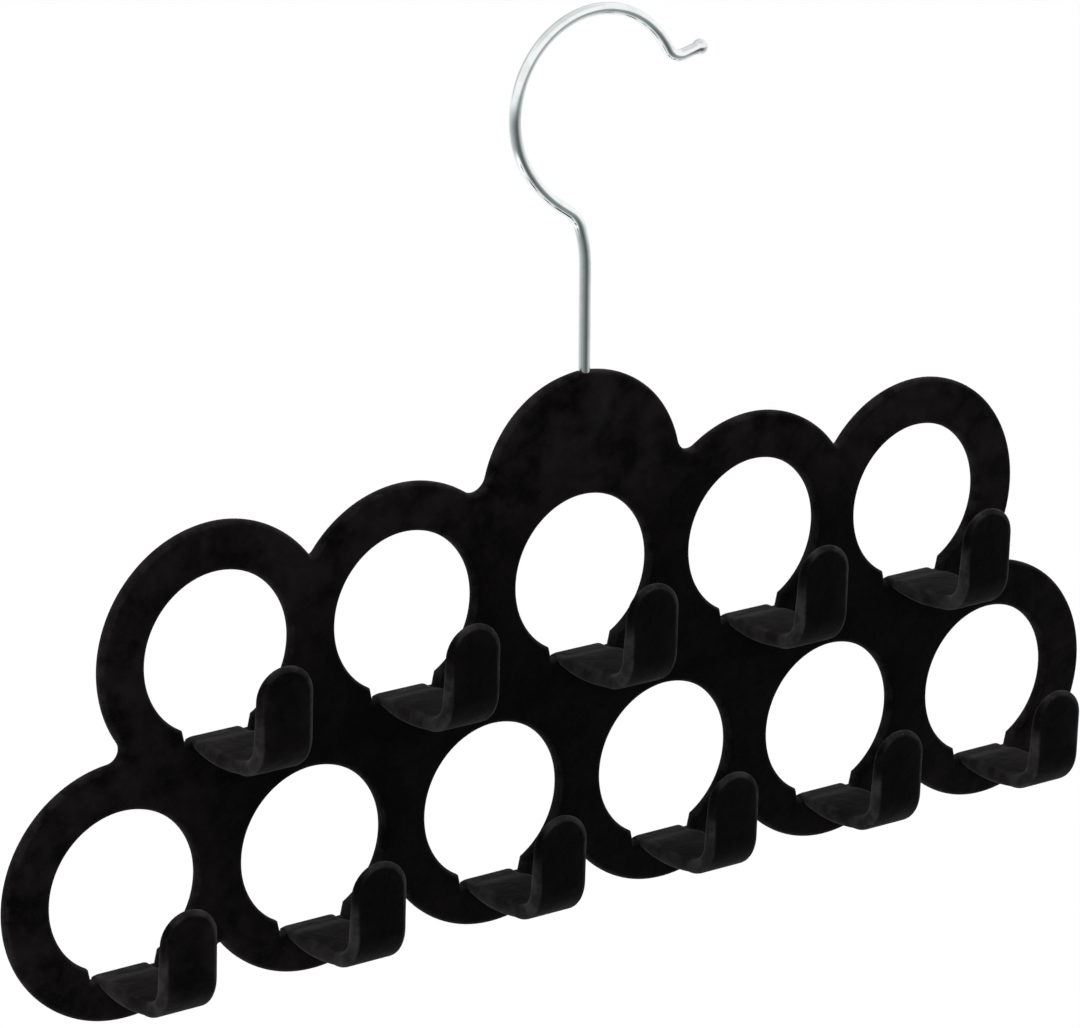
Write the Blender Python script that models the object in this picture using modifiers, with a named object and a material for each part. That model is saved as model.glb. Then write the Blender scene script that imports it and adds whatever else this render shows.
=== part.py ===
"""Belt hanger: a flat ring plate with a belt hook in every ring, hung from a swivelling wire hook.

Blender 4.5, metres, +Z up. The plate stands in the XZ plane, its belt hooks reach out towards -Y.
The origin is where a closet rod carries the hanger: the inside of the wire hook's top, straight
above the swivel's axis. Sizes below are in millimetres and become metres in mm().
"""

import math

import bmesh
import bpy
from mathutils import Vector

# Ring plate
UPPER_RINGS = 5
LOWER_RINGS = 6
RING_PITCH = 57.0
ROW_SPACING = 58.5
HOLE_RADIUS = 21.75
RING_WIDTH = 13.0
PLATE_THICKNESS = 4.0
EDGE_RADIUS = 1.6
VALLEY_RADIUS = 1.2
SIDE_VALLEY_RADIUS = 3.3
DOME_RADIUS = 31.75
DOME_RISE = 23.8
DOME_VALLEY_RADIUS = 4.5

# Notch at the foot of each hole
NOTCH_DEPTH = 0.7
NOTCH_RELIEF = 1.5
NOTCH_TAPER = 0.8

# Belt hooks
STRIP_WIDTH = 16.2
STRIP_THICKNESS = 4.0
STRIP_EDGE_RADIUS = 1.6
STRIP_DROP = 2.8
TAIL_THICKNESS = 2.9
TAIL_EDGE_RADIUS = 1.3
TAIL_RAMP = 6.0
SHELF_BELLY = 0.8
HOOK_REACH = 31.2
HOOK_BEND_RADIUS = 8.8
HOOK_HEIGHT = 30.4
TIP_THICKNESS = 1.8

# Wire hook, in the order in which its bends follow each other from the dome up
WIRE_DIAMETER = 3.2
STEM_HEIGHT = 28.4
STEM_LEAN_DEG = 0.6
NECK_SWEEP_RADIUS = 33.2
NECK_SWEEP_DEG = 19.2
NECK_BEND_RADIUS = 8.7
NECK_BEND_DEG = 36.6
NECK_RUN = 3.6
CROOK_ENTRY_RADIUS = 37.0
CROOK_ENTRY_DEG = 22.7
CROOK_RADIUS = 25.9
CROOK_TURN_DEG = 184.2
TIP_BEND_RADIUS = 4.5
TIP_SLOPE_DEG = 14.0
TIP_LENGTH = 5.6
TIP_BALL_DIAMETER = 4.2

# Swivel socket in the dome
HEAD_DIAMETER = 5.0
HEAD_HEIGHT = 2.4
SOCKET_DEPTH = 9.2
SOCKET_WALL = 1.1
SOCKET_MOUTH_CHAMFER = 0.4
SWELL_DIAMETER = 10.0
SWELL_HALF_LENGTH = 6.5

# Clearances
SEAT_GAP = 0.3
SWIVEL_GAP = 0.3

# How finely round shapes are stepped
ARC_STEP_DEG = 11.2
FILLET_STEP_DEG = 24.0
WIRE_STEP_DEG = 7.5
TURNED_STEPS = 24

RING_RADIUS = HOLE_RADIUS + RING_WIDTH
HALF_PLATE = PLATE_THICKNESS / 2
HALF_STRIP = STRIP_WIDTH / 2
WIRE_RADIUS = WIRE_DIAMETER / 2


def mm(value):
    """Millimetres to Blender's metres."""
    return value / 1000.0


def clear_scene():
    for thing in list(bpy.data.objects):
        bpy.data.objects.remove(thing, do_unlink=True)


def new_collection(name):
    group = bpy.data.collections.new(name)
    bpy.context.scene.collection.children.link(group)
    return group


def principled(name, colour, roughness, metallic):
    material = bpy.data.materials.new(name)
    material.use_nodes = True
    shader = material.node_tree.nodes["Principled BSDF"]
    shader.inputs["Base Color"].default_value = (*colour, 1.0)
    shader.inputs["Roughness"].default_value = roughness
    shader.inputs["Metallic"].default_value = metallic
    return material


def arc(centre, radius, start, end, step_deg):
    """Points of an arc in the plate's plane, both ends included; angles in radians."""
    steps = max(1, math.ceil(abs(math.degrees(end - start)) / step_deg))
    return [
        (
            centre[0] + radius * math.cos(start + (end - start) * i / steps),
            centre[1] + radius * math.sin(start + (end - start) * i / steps),
        )
        for i in range(steps + 1)
    ]


def angle_at(centre, point):
    return math.atan2(point[1] - centre[1], point[0] - centre[0])


def after(angle, start):
    """The same direction as angle, counted on from start."""
    return start + (angle - start) % math.tau


# Where everything stands, measured from the plate's middle between the two rows
def row_centres():
    """Centres of the upper and of the lower rings."""
    upper = [
        ((i - (UPPER_RINGS - 1) / 2) * RING_PITCH, ROW_SPACING / 2) for i in range(UPPER_RINGS)
    ]
    lower = [
        ((i - (LOWER_RINGS - 1) / 2) * RING_PITCH, -ROW_SPACING / 2) for i in range(LOWER_RINGS)
    ]
    return upper, lower


def dome_centre():
    return (0.0, ROW_SPACING / 2 + DOME_RISE)


def dome_top():
    return dome_centre()[1] + DOME_RADIUS


def neck_bends():
    """The wire's steps from the dome to the crook, each a radius and an amount. A bend's amount
    is in degrees, with a radius above zero to the left and below zero to the right; where the
    radius is zero, the amount is a straight length."""
    return [
        (0.0, STEM_HEIGHT),
        (NECK_SWEEP_RADIUS, NECK_SWEEP_DEG),
        (NECK_BEND_RADIUS, NECK_BEND_DEG),
        (0.0, NECK_RUN),
        (-CROOK_ENTRY_RADIUS, CROOK_ENTRY_DEG),
    ]


def follow(place, heading, bends):
    """Go along bends from a place: the points passed, and the place and heading at the end."""
    points = []
    for radius, amount in bends:
        if radius == 0.0:
            place = place + Vector((math.cos(heading), math.sin(heading))) * amount
            points.append(place)
            continue
        centre = bend_centre(place, heading, radius)
        turn = math.copysign(math.radians(amount), radius)
        start = angle_at(centre, place)
        points += arc(centre, abs(radius), start, start + turn, WIRE_STEP_DEG)[1:]
        place = Vector(points[-1])
        heading += turn
    return points, place, heading


def bend_centre(place, heading, radius):
    """Centre of a bend that starts at a place: to the left of the way, or right below zero."""
    return place + Vector((-math.sin(heading), math.cos(heading))) * radius


def crook_start():
    """Points from the dome's top to the crook, and the place and heading where it starts."""
    foot = Vector((0.0, dome_top()))
    return follow(foot, math.radians(90.0 + STEM_LEAN_DEG), neck_bends())


def rod_rest_height():
    """Height of the crook's inside, straight above the swivel's axis."""
    _, place, heading = crook_start()
    centre = bend_centre(place, heading, -CROOK_RADIUS)
    inside = CROOK_RADIUS - WIRE_RADIUS
    return centre.y + math.sqrt(inside**2 - centre.x**2)


def flat_outline(name, loops, half_thickness, edge_radius, edge_steps):
    """A flat piece with rounded edges: closed loops in X and Z, thick along Y, as one mesh."""
    curve = bpy.data.curves.new(name, "CURVE")
    curve.dimensions = "2D"
    curve.fill_mode = "BOTH"
    curve.extrude = mm(half_thickness - edge_radius)
    curve.bevel_depth = mm(edge_radius)
    curve.bevel_resolution = edge_steps - 1
    curve.offset = -mm(edge_radius)
    for loop in loops:
        spline = curve.splines.new("POLY")
        spline.points.add(len(loop) - 1)
        spline.use_cyclic_u = True
        for point, (x, z) in zip(spline.points, loop):
            point.co = (mm(x), mm(z), 0.0, 1.0)
    blank = bpy.data.objects.new(name, curve)
    bpy.context.scene.collection.objects.link(blank)
    depsgraph = bpy.context.evaluated_depsgraph_get()
    mesh = bpy.data.meshes.new_from_object(blank.evaluated_get(depsgraph))
    bpy.data.objects.remove(blank, do_unlink=True)
    tidy_faces(mesh)
    return mesh


def tidy_faces(mesh):
    """Weld the curve's rims to its flat faces, and turn their sliver triangles into full ones."""
    work = bmesh.new()
    work.from_mesh(mesh)
    bmesh.ops.remove_doubles(work, verts=work.verts, dist=1e-6)
    level = max(vertex.co.z for vertex in work.verts) * 0.999
    flat = [face for face in work.faces if all(abs(v.co.z) > level for v in face.verts)]
    across = [edge for edge in work.edges if all(face in flat for face in edge.link_faces)]
    bmesh.ops.beautify_fill(work, faces=flat, edges=across, method="ANGLE")
    work.to_mesh(mesh)
    work.free()


def stand_up(mesh):
    """Turn a flat piece drawn in XY so that its drawing stands in XZ and faces -Y."""
    for vertex in mesh.vertices:
        x, y, z = vertex.co
        vertex.co = (x, -z, y)


def turned(name, profile, height):
    """A solid of revolution about the swivel's axis; profile is (radius, height) from the top."""
    mesh = bpy.data.meshes.new(name)
    points = [(mm(radius), 0.0, mm(z)) for radius, z in profile]
    edges = [(i, i + 1) for i in range(len(points) - 1)]
    mesh.from_pydata(points, edges, [])
    piece = bpy.data.objects.new(name, mesh)
    piece.location = (0.0, 0.0, mm(height))
    screw = piece.modifiers.new("Turn", "SCREW")
    screw.axis = "Z"
    screw.steps = TURNED_STEPS
    screw.render_steps = TURNED_STEPS
    screw.use_merge_vertices = True
    screw.merge_threshold = 0.000001
    return piece


def smooth(mesh):
    mesh.shade_smooth()
    mesh.set_sharp_from_angle(angle=math.radians(35))


# Ring plate
def plate_outline():
    """The plate's edge: arcs round the outer rings and the dome, with a fillet in each valley."""
    upper, lower = row_centres()
    shoulder = UPPER_RINGS // 2
    right = [(c, RING_RADIUS) for c in reversed(upper[shoulder + 1 :])]
    left = [(c, RING_RADIUS) for c in reversed(upper[:shoulder])]
    bottom = [(c, RING_RADIUS) for c in lower]
    dome = [(dome_centre(), DOME_RADIUS)]
    discs = right + dome + left + bottom
    fillets = []
    for i, (centre, radius) in enumerate(discs):
        following = discs[(i + 1) % len(discs)]
        if DOME_RADIUS in (radius, following[1]) and dome_centre() in (centre, following[0]):
            fillets.append(DOME_VALLEY_RADIUS)
        elif abs(centre[1] - following[0][1]) > RING_WIDTH:
            fillets.append(SIDE_VALLEY_RADIUS)
        else:
            fillets.append(VALLEY_RADIUS)
    valleys = []
    for i, (centre, radius) in enumerate(discs):
        (next_centre, next_radius), fillet = discs[(i + 1) % len(discs)], fillets[i]
        a, b = Vector(centre), Vector(next_centre)
        span = (b - a).length
        along = ((radius + fillet) ** 2 - (next_radius + fillet) ** 2 + span**2) / (2 * span)
        aside = math.sqrt((radius + fillet) ** 2 - along**2)
        forward = (b - a) / span
        outward = Vector((forward.y, -forward.x))
        hollow = a + forward * along + outward * aside
        valleys.append((hollow, a + (hollow - a) * radius / (radius + fillet),
                        b + (hollow - b) * next_radius / (next_radius + fillet)))
    outline = []
    for i, (centre, radius) in enumerate(discs):
        start = angle_at(centre, valleys[i - 1][2])
        end = after(angle_at(centre, valleys[i][1]), start)
        outline += arc(centre, radius, start, end, ARC_STEP_DEG)
        hollow, first, last = valleys[i]
        start = angle_at(hollow, first)
        end = start - (start - angle_at(hollow, last)) % math.tau
        outline += arc(hollow, fillets[i], start, end, FILLET_STEP_DEG)[1:-1]
    return outline


def hole_outline(centre):
    """A round hole with, at its foot, a relief notch and the slot that seats a belt hook."""
    relief = HALF_STRIP + SEAT_GAP + NOTCH_RELIEF
    shoulder = relief + NOTCH_TAPER
    floor = HOLE_RADIUS + NOTCH_DEPTH
    slot_floor = HOLE_RADIUS + STRIP_DROP + SEAT_GAP
    corner = min(STRIP_EDGE_RADIUS + SEAT_GAP, (slot_floor - floor) * 0.9)
    slot = HALF_STRIP + SEAT_GAP
    start = -math.acos(shoulder / HOLE_RADIUS)
    rim = arc((0.0, 0.0), HOLE_RADIUS, start, math.pi - start, ARC_STEP_DEG)
    left_corner = arc((-slot + corner, -slot_floor + corner), corner, math.pi, 1.5 * math.pi, 45)
    right_corner = arc((slot - corner, -slot_floor + corner), corner, -0.5 * math.pi, 0.0, 45)
    notch = [(-relief, -floor), (-slot, -floor)]
    notch += left_corner + right_corner
    notch += [(slot, -floor), (relief, -floor)]
    return [(centre[0] + x, centre[1] + z) for x, z in reversed(rim + notch)]


def socket_levels():
    """Heights, below the dome's top, of the head's shoulder and foot in the socket."""
    shoulder = -SOCKET_DEPTH
    return shoulder, shoulder - HEAD_HEIGHT


def make_socket_swell():
    """The swelling that holds the wire's head: a slim neck above a rounded barrel."""
    shoulder, foot = socket_levels()
    middle = (shoulder + foot) / 2
    neck = WIRE_RADIUS + SWIVEL_GAP + SOCKET_WALL
    barrel = SWELL_DIAMETER / 2
    joint = math.asin(neck / barrel)
    profile = [(0.0, 0.0), (neck, 0.0)]
    steps = 10
    for i in range(steps + 1):
        turn = joint + (math.pi - joint) * i / steps
        profile.append((barrel * math.sin(turn), middle + SWELL_HALF_LENGTH * math.cos(turn)))
    profile[-1] = (0.0, profile[-1][1])
    return turned("socket_swell", profile, dome_top())


def make_socket_bore():
    """The stepped bore: a mouth, a neck round the wire and a wider chamber round its head."""
    shoulder, foot = socket_levels()
    neck = WIRE_RADIUS + SWIVEL_GAP
    chamber = HEAD_DIAMETER / 2 + SWIVEL_GAP
    above = EDGE_RADIUS
    profile = [
        (0.0, above),
        (neck + SOCKET_MOUTH_CHAMFER + above, above),
        (neck, -SOCKET_MOUTH_CHAMFER),
        (neck, shoulder + SWIVEL_GAP),
        (chamber, shoulder + SWIVEL_GAP),
        (chamber, foot - SWIVEL_GAP),
        (0.0, foot - SWIVEL_GAP),
    ]
    return turned("socket_bore", profile, dome_top())


def boolean(piece, tool, operation):
    modifier = piece.modifiers.new(tool.name, "BOOLEAN")
    modifier.object = tool
    modifier.operation = operation
    modifier.solver = "EXACT"


def hide_tool(tool, cutters):
    tool.hide_render = True
    tool.display_type = "WIRE"
    cutters.objects.link(tool)


def make_ring_plate(cutters):
    upper, lower = row_centres()
    loops = [plate_outline()] + [hole_outline(centre) for centre in upper + lower]
    mesh = flat_outline("ring_plate", loops, HALF_PLATE, EDGE_RADIUS, 2)
    stand_up(mesh)
    plate = bpy.data.objects.new("ring_plate", mesh)
    swell = make_socket_swell()
    bore = make_socket_bore()
    for tool, operation in ((swell, "UNION"), (bore, "DIFFERENCE")):
        hide_tool(tool, cutters)
        boolean(plate, tool, operation)
    return plate


# Belt hooks
def hook_path():
    """Lengths along the strip where its bend starts and ends, and its full length."""
    bend_start = HALF_PLATE + HOOK_REACH - HOOK_BEND_RADIUS
    bend_end = bend_start + HOOK_BEND_RADIUS * math.pi / 2
    upright = HOOK_HEIGHT - STRIP_THICKNESS / 2 - HOOK_BEND_RADIUS
    return bend_start, bend_end, bend_end + upright


def thinned(along, offset):
    """The strip's upper half is thinner in the slot, where its back edge is rounded too."""
    if offset <= 0.0:
        return offset
    ramp = (along - PLATE_THICKNESS) / TAIL_RAMP
    ramp = min(max(ramp, 0.0), 1.0)
    ramp = ramp * ramp * (3.0 - 2.0 * ramp)
    half = STRIP_THICKNESS / 2
    tail = TAIL_THICKNESS - half
    short = max(TAIL_EDGE_RADIUS - along, 0.0)
    rounding = TAIL_EDGE_RADIUS - math.sqrt(TAIL_EDGE_RADIUS**2 - short**2)
    return offset / half * (tail - rounding + (half - tail) * ramp)


def shelf_span():
    """Lengths along the strip where its shelf comes clear of the plate and where it ends."""
    return PLATE_THICKNESS + SEAT_GAP, hook_path()[0]


def belly(along):
    """How much the shelf swells, between the plate and the bend, at its sides and its underside."""
    start, end = shelf_span()
    past = min(max((along - start) / (end - start), 0.0), 1.0)
    return 4.0 * SHELF_BELLY * past * (1.0 - past)


def tapered(along, offset):
    """The tongue gets thinner towards its tip, on the side that faces the plate."""
    _, bend_end, length = hook_path()
    past = max(along - bend_end, 0.0) / (length - bend_end)
    share = 1.0 - (1.0 - TIP_THICKNESS / STRIP_THICKNESS) * past
    return share * (offset + STRIP_THICKNESS / 2) - STRIP_THICKNESS / 2


def bent(along, offset):
    """Where a point of the straight blank goes on the bent strip, as (y, z) from the hole."""
    bend_start, bend_end, _ = hook_path()
    if offset < 0.0:
        offset *= 1.0 + belly(along) / (STRIP_THICKNESS / 2)
    middle = -(HOLE_RADIUS + STRIP_DROP) + STRIP_THICKNESS / 2
    bend_y = HALF_PLATE - bend_start
    if along <= bend_start:
        return HALF_PLATE - along, middle + thinned(along, offset)
    if along <= bend_end:
        turn = (along - bend_start) / HOOK_BEND_RADIUS
        radius = HOOK_BEND_RADIUS - offset
        return bend_y - radius * math.sin(turn), middle + HOOK_BEND_RADIUS - radius * math.cos(turn)
    return bend_y - HOOK_BEND_RADIUS + tapered(along, offset), middle + HOOK_BEND_RADIUS + along - bend_end


def belt_hook_mesh():
    """A flat blank with one round end and rounded edges, cut square at its tail and bent."""
    bend_start, bend_end, length = hook_path()
    spare = STRIP_THICKNESS
    round_end = arc((0.0, length - HALF_STRIP), HALF_STRIP, 0.0, math.pi, 15.0)
    loop = [(-HALF_STRIP, -spare), (HALF_STRIP, -spare)] + round_end
    mesh = flat_outline("belt_hook", [loop], STRIP_THICKNESS / 2, STRIP_EDGE_RADIUS, 2)
    work = bmesh.new()
    work.from_mesh(mesh)
    everything = work.verts[:] + work.edges[:] + work.faces[:]
    bmesh.ops.bisect_plane(
        work, geom=everything, plane_co=(0, 0, 0), plane_no=(0, -1, 0), clear_outer=True
    )
    rim = [edge for edge in work.edges if edge.is_boundary]
    bmesh.ops.contextual_create(work, geom=rim)
    rounding_steps = 2
    shelf_steps = 4
    bend_steps = 6
    stations = []
    for i in range(1, rounding_steps + 1):
        stations.append(TAIL_EDGE_RADIUS * (1.0 - math.cos(math.pi / 2 * i / rounding_steps)))
    shelf_start, shelf_end = shelf_span()
    for i in range(shelf_steps):
        stations.append(shelf_start + (shelf_end - shelf_start) * i / shelf_steps)
    for i in range(bend_steps + 1):
        stations.append(bend_start + (bend_end - bend_start) * i / bend_steps)
    for station in stations:
        everything = work.verts[:] + work.edges[:] + work.faces[:]
        bmesh.ops.bisect_plane(
            work, geom=everything, dist=1e-6, plane_co=(0, mm(station), 0), plane_no=(0, 1, 0)
        )
    for vertex in work.verts:
        along = vertex.co.y * 1000.0
        y, z = bent(along, vertex.co.z * 1000.0)
        wider = 1.0 + belly(along) / HALF_STRIP
        vertex.co = (vertex.co.x * wider, mm(y), mm(z))
    bmesh.ops.triangulate(work, faces=work.faces[:])
    bmesh.ops.recalc_face_normals(work, faces=work.faces[:])
    work.to_mesh(mesh)
    work.free()
    smooth(mesh)
    return mesh


# Wire hook
def wire_path():
    """Centre line and radius of the wire, from the head in the socket to the ball at the tip."""
    shoulder, foot = socket_levels()
    top = dome_top()
    head = HEAD_DIAMETER / 2
    ease = 0.15
    points = [
        ((0.0, top + foot), head - ease),
        ((0.0, top + foot + ease), head),
        ((0.0, top + shoulder - ease), head),
        ((0.0, top + shoulder), head - ease),
        ((0.0, top + shoulder + ease), WIRE_RADIUS),
        ((0.0, top), WIRE_RADIUS),
    ]
    neck, place, heading = crook_start()
    crook, place, heading = follow(place, heading, [(-CROOK_RADIUS, CROOK_TURN_DEG)])
    slope = math.radians(TIP_SLOPE_DEG)
    tip, last, _ = follow(place, heading, [(TIP_BEND_RADIUS, math.degrees(slope - heading))])
    for point in neck + crook + tip[1::2]:
        points.append((point, WIRE_RADIUS))
    heading = Vector((math.cos(slope), math.sin(slope)))
    ball = TIP_BALL_DIAMETER / 2
    entry = math.asin(min(WIRE_RADIUS / ball, 1.0))
    steps = 8
    for i in range(steps + 1):
        turn = math.pi - entry - (math.pi - entry) * i / steps
        place = last + heading * (TIP_LENGTH + ball * math.cos(turn))
        points.append((place, max(ball * math.sin(turn), ease)))
    return points


def make_wire_hook():
    points = wire_path()
    curve = bpy.data.curves.new("wire_hook", "CURVE")
    curve.dimensions = "3D"
    curve.bevel_depth = mm(WIRE_RADIUS)
    curve.bevel_resolution = 4
    curve.use_fill_caps = True
    spline = curve.splines.new("POLY")
    spline.points.add(len(points) - 1)
    for target, ((x, z), radius) in zip(spline.points, points):
        target.co = (mm(x), 0.0, mm(z), 1.0)
        target.radius = radius / WIRE_RADIUS
    return bpy.data.objects.new("wire_hook", curve)


def add_part(piece, group, material, parent):
    group.objects.link(piece)
    piece.data.materials.clear()
    piece.data.materials.append(material)
    piece.parent = parent


def main():
    clear_scene()
    group = new_collection("belt_hanger")
    cutters = new_collection("cutters")
    flocking = principled("black_flocking", (0.012, 0.011, 0.011), 0.95, 0.0)
    chrome = principled("bright_steel", (0.62, 0.63, 0.62), 0.22, 1.0)

    hang = bpy.data.objects.new("rod_rest", None)
    group.objects.link(hang)
    swivel = bpy.data.objects.new("swivel_axis", None)
    swivel.parent = hang
    swivel.location = (0.0, 0.0, -mm(rod_rest_height()))
    group.objects.link(swivel)

    plate = make_ring_plate(cutters)
    add_part(plate, group, flocking, swivel)
    for tool in cutters.objects:
        tool.parent = swivel
    smooth(plate.data)

    hook_mesh = belt_hook_mesh()
    upper, lower = row_centres()
    for row, centres in (("upper", upper), ("lower", lower)):
        for number, (x, z) in enumerate(centres, start=1):
            hook = bpy.data.objects.new(f"belt_hook_{row}_{number}", hook_mesh)
            hook.location = (mm(x), 0.0, mm(z))
            group.objects.link(hook)
            hook.parent = swivel
    hook_mesh.materials.append(flocking)

    wire = make_wire_hook()
    add_part(wire, group, chrome, hang)
    wire.location = (0.0, 0.0, -mm(rod_rest_height()))


main()
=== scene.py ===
"""Looks of a flocked belt hanger with a plated wire hook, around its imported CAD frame. Metres, +Z up."""

import math

import bmesh
import bpy
import numpy as np
from mathutils import Matrix, Vector


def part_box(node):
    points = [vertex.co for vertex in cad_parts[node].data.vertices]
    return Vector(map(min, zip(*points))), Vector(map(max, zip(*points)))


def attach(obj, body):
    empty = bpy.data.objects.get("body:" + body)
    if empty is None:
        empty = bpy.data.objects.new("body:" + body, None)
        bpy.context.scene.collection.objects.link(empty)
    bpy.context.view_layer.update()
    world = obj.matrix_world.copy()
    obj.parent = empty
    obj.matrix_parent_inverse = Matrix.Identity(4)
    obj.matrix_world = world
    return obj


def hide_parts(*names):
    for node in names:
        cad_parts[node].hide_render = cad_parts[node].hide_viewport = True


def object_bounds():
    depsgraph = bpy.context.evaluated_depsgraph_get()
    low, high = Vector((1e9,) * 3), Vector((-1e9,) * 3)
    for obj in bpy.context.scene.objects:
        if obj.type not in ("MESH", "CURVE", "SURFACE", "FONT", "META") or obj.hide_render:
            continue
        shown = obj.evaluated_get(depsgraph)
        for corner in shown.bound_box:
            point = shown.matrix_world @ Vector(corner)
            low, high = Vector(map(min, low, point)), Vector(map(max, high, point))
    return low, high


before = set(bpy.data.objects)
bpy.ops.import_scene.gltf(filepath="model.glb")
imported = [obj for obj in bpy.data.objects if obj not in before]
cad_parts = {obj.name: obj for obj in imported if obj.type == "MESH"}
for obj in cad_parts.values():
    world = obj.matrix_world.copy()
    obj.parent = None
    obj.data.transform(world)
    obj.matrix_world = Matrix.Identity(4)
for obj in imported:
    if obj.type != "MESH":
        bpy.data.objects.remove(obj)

cad_low, cad_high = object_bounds()
MM = 0.001


# Where the rings stand
# The plate is moulded as two staggered rows of rings, and every other piece is placed from them.
# Its middle between the rows is found from the CAD plate's lowest edge.
HOLE_RADIUS = 21.75 * MM
RING_WIDTH = 13.0 * MM
RING_PITCH = 57.0 * MM
ROW_SPACING = 58.5 * MM
RING_RADIUS = HOLE_RADIUS + RING_WIDTH
plate_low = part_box("ring_plate")[0]
MIDDLE_HEIGHT = plate_low.z + RING_RADIUS + ROW_SPACING / 2


def row_of(rings, side):
    """Centres of one row's rings, as (x, z) from the plate's middle; side is +1 above and -1 below."""
    return [((i - (rings - 1) / 2) * RING_PITCH, side * ROW_SPACING / 2) for i in range(rings)]


UPPER_ROW = row_of(5, 1)
LOWER_ROW = row_of(6, -1)


# Camera
# The photograph looks at the hanger from its left and from a little above, through a long lens.
# The place and the turn come from a camera fitted to the outline of the ring plate.
AZIMUTH = math.radians(-35.966)
ELEVATION = math.radians(18.210)
ROLL = math.radians(0.858)
CAMERA_DISTANCE = 1.36355
CAMERA_ASIDE = -0.01031
CAMERA_RAISED = 0.04302
FOCAL_PIXELS = 5112.3
PHOTO_WIDTH = 1080


def add_object(name, data):
    """A new object of the scene, at the origin, that shows this data."""
    made = bpy.data.objects.new(name, data)
    bpy.context.scene.collection.objects.link(made)
    return made


away = Vector((
    math.sin(AZIMUTH) * math.cos(ELEVATION),
    -math.cos(AZIMUTH) * math.cos(ELEVATION),
    math.sin(ELEVATION),
))
level_right = (-away).cross(Vector((0, 0, 1))).normalized()
level_up = level_right.cross(-away)
right = math.cos(ROLL) * level_right + math.sin(ROLL) * level_up
up = -math.sin(ROLL) * level_right + math.cos(ROLL) * level_up
place = away * CAMERA_DISTANCE + right * CAMERA_ASIDE + up * CAMERA_RAISED
place.z += MIDDLE_HEIGHT
turn = Matrix((right, up, away)).transposed().to_4x4()

camera_data = bpy.data.cameras.new("photo_camera")
camera_data.sensor_fit = "HORIZONTAL"
camera_data.sensor_width = 36.0
camera_data.lens = FOCAL_PIXELS / PHOTO_WIDTH * camera_data.sensor_width
camera_data.clip_start = 0.05
camera_data.clip_end = 50.0
camera = add_object("photo_camera", camera_data)
camera.matrix_world = Matrix.Translation(place) @ turn
bpy.context.scene.camera = camera
bpy.context.scene.view_settings.view_transform = "Standard"


# Studio
# A white cove round the hanger, with a pale floor well below it: the camera sees plain white. Bright metal
# mirrors the cove's own shades, which are darkest in front, at its open side, and lightest on its floor.
class Flow:
    """One shader socket. Python's + - * / and ** on it add the Math nodes that work them out."""

    def __init__(self, tree, socket):
        self.tree = tree
        self.socket = socket

    def __add__(self, other):
        return self.tree.maths("ADD", self, other)

    def __radd__(self, other):
        return self.tree.maths("ADD", other, self)

    def __sub__(self, other):
        return self.tree.maths("SUBTRACT", self, other)

    def __rsub__(self, other):
        return self.tree.maths("SUBTRACT", other, self)

    def __mul__(self, other):
        return self.tree.maths("MULTIPLY", self, other)

    def __rmul__(self, other):
        return self.tree.maths("MULTIPLY", other, self)

    def __truediv__(self, other):
        return self.tree.maths("DIVIDE", self, other)

    def __pow__(self, other):
        return self.tree.maths("POWER", self, other)


class Shading:
    """The node tree of a material or world, written from an empty one."""

    def __init__(self, owner):
        owner.use_nodes = True
        self.nodes = owner.node_tree.nodes
        self.links = owner.node_tree.links
        self.nodes.clear()

    def node(self, kind, settings=None, sockets=None, output=0):
        """Add a node: first its settings, then its sockets' values or links. Gives one output."""
        made = self.nodes.new(kind)
        for name, value in (settings or {}).items():
            if name == "stops":
                ramp = made.color_ramp
                while len(ramp.elements) < len(value):
                    ramp.elements.new(1.0)
                for element, (position, colour) in zip(ramp.elements, value):
                    element.position = position
                    element.color = (*colour, 1.0)
            else:
                setattr(made, name, value)
        for name, value in (sockets or {}).items():
            if isinstance(value, Flow):
                self.links.new(value.socket, made.inputs[name])
            else:
                made.inputs[name].default_value = value
        return Flow(self, made.outputs[output]) if made.outputs else None

    def maths(self, operation, first, second):
        return self.node("ShaderNodeMath", {"operation": operation}, {0: first, 1: second})

    def part(self, vector, axis):
        """The X, Y or Z of a vector."""
        return self.node("ShaderNodeSeparateXYZ", None, {0: vector}, output=axis)

    def smooth_step(self, value, low, high, floor=0.0, ceiling=1.0):
        """Goes smoothly from floor to ceiling while the value goes from low to high."""
        settings = {"interpolation_type": "SMOOTHSTEP"}
        sockets = {"Value": value, 1: low, 2: high, 3: floor, 4: ceiling}
        return self.node("ShaderNodeMapRange", settings, sockets)

    def blend_colours(self, factor, first, second):
        settings = {"data_type": "RGBA", "blend_type": "MIX"}
        return self.node("ShaderNodeMix", settings, {0: factor, 6: first, 7: second}, output=2)

    def blend_shaders(self, factor, first, second):
        return self.node("ShaderNodeMixShader", None, {0: factor, 1: first, 2: second})


WHITE = (1, 1, 1, 1)
SEEN_WHITE = 1.0
FILL_LIGHT = 0.66
MIRRORED_WHITE = 1.06
MIRRORED_FLOOR = 1.35
MIRRORED_DARK = 0.12
DARK_TINT = (0.90, 1.0, 1.0, 1)

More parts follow.
